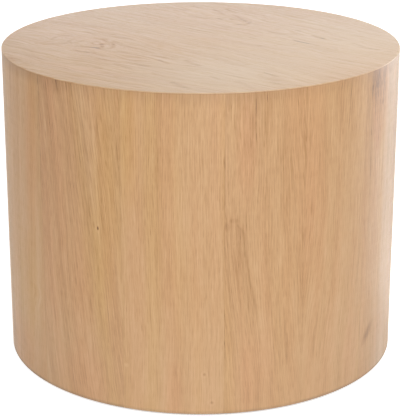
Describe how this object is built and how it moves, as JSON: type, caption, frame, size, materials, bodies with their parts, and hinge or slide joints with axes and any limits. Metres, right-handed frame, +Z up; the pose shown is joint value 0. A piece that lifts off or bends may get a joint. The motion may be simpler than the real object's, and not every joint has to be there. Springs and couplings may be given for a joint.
{
  "type": "drum side table",
  "caption": "Plain round drum side table: a hollow veneered wooden cylinder with a flat top, standing on small levelling feet hidden under its lower edge.",
  "frame": {"origin": "on the floor, at the middle of the drum's underside, with the levelling feet screwed right in", "axes": "+Z up through the drum's axis, -Y to the front; the first levelling foot is on +X"},
  "size_m": [0.5, 0.5, 0.399],
  "materials": {
    "oak_face_veneer": "satin lacquered pale oak veneer",
    "backing_veneer": "plain unlacquered veneer",
    "fibreboard": "raw fibreboard",
    "bending_plywood": "raw bending plywood",
    "birch_plywood": "sanded birch plywood",
    "pine": "planed pine",
    "yellow_zinc_steel": "yellow zinc plate",
    "zinc_steel": "bright zinc plate",
    "nylon": "black moulded nylon"
  },
  "bodies": {
    "drum": {"side_veneer_leaf_1": "oak_face_veneer", "side_veneer_leaf_2": "oak_face_veneer", "side_veneer_leaf_3": "oak_face_veneer", "side_veneer_leaf_4": "oak_face_veneer", "side_veneer_leaf_5": "oak_face_veneer", "side_veneer_leaf_6": "oak_face_veneer", "side_veneer_leaf_7": "oak_face_veneer", "side_veneer_leaf_8": "oak_face_veneer", "side_veneer_leaf_9": "oak_face_veneer", "side_veneer_leaf_10": "oak_face_veneer", "side_veneer_leaf_11": "oak_face_veneer", "side_veneer_leaf_12": "oak_face_veneer", "side_veneer_leaf_13": "oak_face_veneer", "side_veneer_leaf_14": "oak_face_veneer", "top_veneer_right_leaf": "oak_face_veneer", "top_veneer_left_leaf": "oak_face_veneer", "top_panel": "fibreboard", "top_backing_veneer": "backing_veneer", "outer_wall_sheet": "bending_plywood", "inner_wall_sheet": "bending_plywood", "middle_ring": "birch_plywood", "base_ring": "birch_plywood", "batten_1": "pine", "batten_2": "pine", "batten_3": "pine", "batten_4": "pine", "batten_5": "pine", "batten_6": "pine", "batten_7": "pine", "batten_8": "pine", "top_screws": "yellow_zinc_steel", "base_screws": "yellow_zinc_steel", "t_nuts": "zinc_steel"},
    "foot_1_pad": {"foot_pad_1": "nylon"},
    "foot_1_stud": {"foot_stud_1": "zinc_steel"},
    "foot_2_pad": {"foot_pad_2": "nylon"},
    "foot_2_stud": {"foot_stud_2": "zinc_steel"},
    "foot_3_pad": {"foot_pad_3": "nylon"},
    "foot_3_stud": {"foot_stud_3": "zinc_steel"},
    "foot_4_pad": {"foot_pad_4": "nylon"},
    "foot_4_stud": {"foot_stud_4": "zinc_steel"}
  },
  "joints": [
    {"name": "foot_1_height", "type": "slide", "parent": "drum", "child": "foot_1_pad", "axis": [0, 0, -1], "range_m": [0, 0.01]},
    {"name": "foot_1_screw", "type": "hinge", "parent": "foot_1_pad", "child": "foot_1_stud", "pos_m": [0.19, 0, 0.0122], "axis": [0, 0, -1], "range_deg": [0, 2880]},
    {"name": "foot_2_height", "type": "slide", "parent": "drum", "child": "foot_2_pad", "axis": [0, 0, -1], "range_m": [0, 0.01]},
    {"name": "foot_2_screw", "type": "hinge", "parent": "foot_2_pad", "child": "foot_2_stud", "pos_m": [0, 0.19, 0.0122], "axis": [0, 0, -1], "range_deg": [0, 2880]},
    {"name": "foot_3_height", "type": "slide", "parent": "drum", "child": "foot_3_pad", "axis": [0, 0, -1], "range_m": [0, 0.01]},
    {"name": "foot_3_screw", "type": "hinge", "parent": "foot_3_pad", "child": "foot_3_stud", "pos_m": [-0.19, 0, 0.0122], "axis": [0, 0, -1], "range_deg": [0, 2880]},
    {"name": "foot_4_height", "type": "slide", "parent": "drum", "child": "foot_4_pad", "axis": [0, 0, -1], "range_m": [0, 0.01]},
    {"name": "foot_4_screw", "type": "hinge", "parent": "foot_4_pad", "child": "foot_4_stud", "pos_m": [0, -0.19, 0.0122], "axis": [0, 0, -1], "range_deg": [0, 2880]}
  ],
  "couplings": [
    {"joint": "foot_1_screw", "follows": "foot_1_height", "rad_per_m": 5026.5},
    {"joint": "foot_2_screw", "follows": "foot_2_height", "rad_per_m": 5026.5},
    {"joint": "foot_3_screw", "follows": "foot_3_height", "rad_per_m": 5026.5},
    {"joint": "foot_4_screw", "follows": "foot_4_height", "rad_per_m": 5026.5}
  ]
}
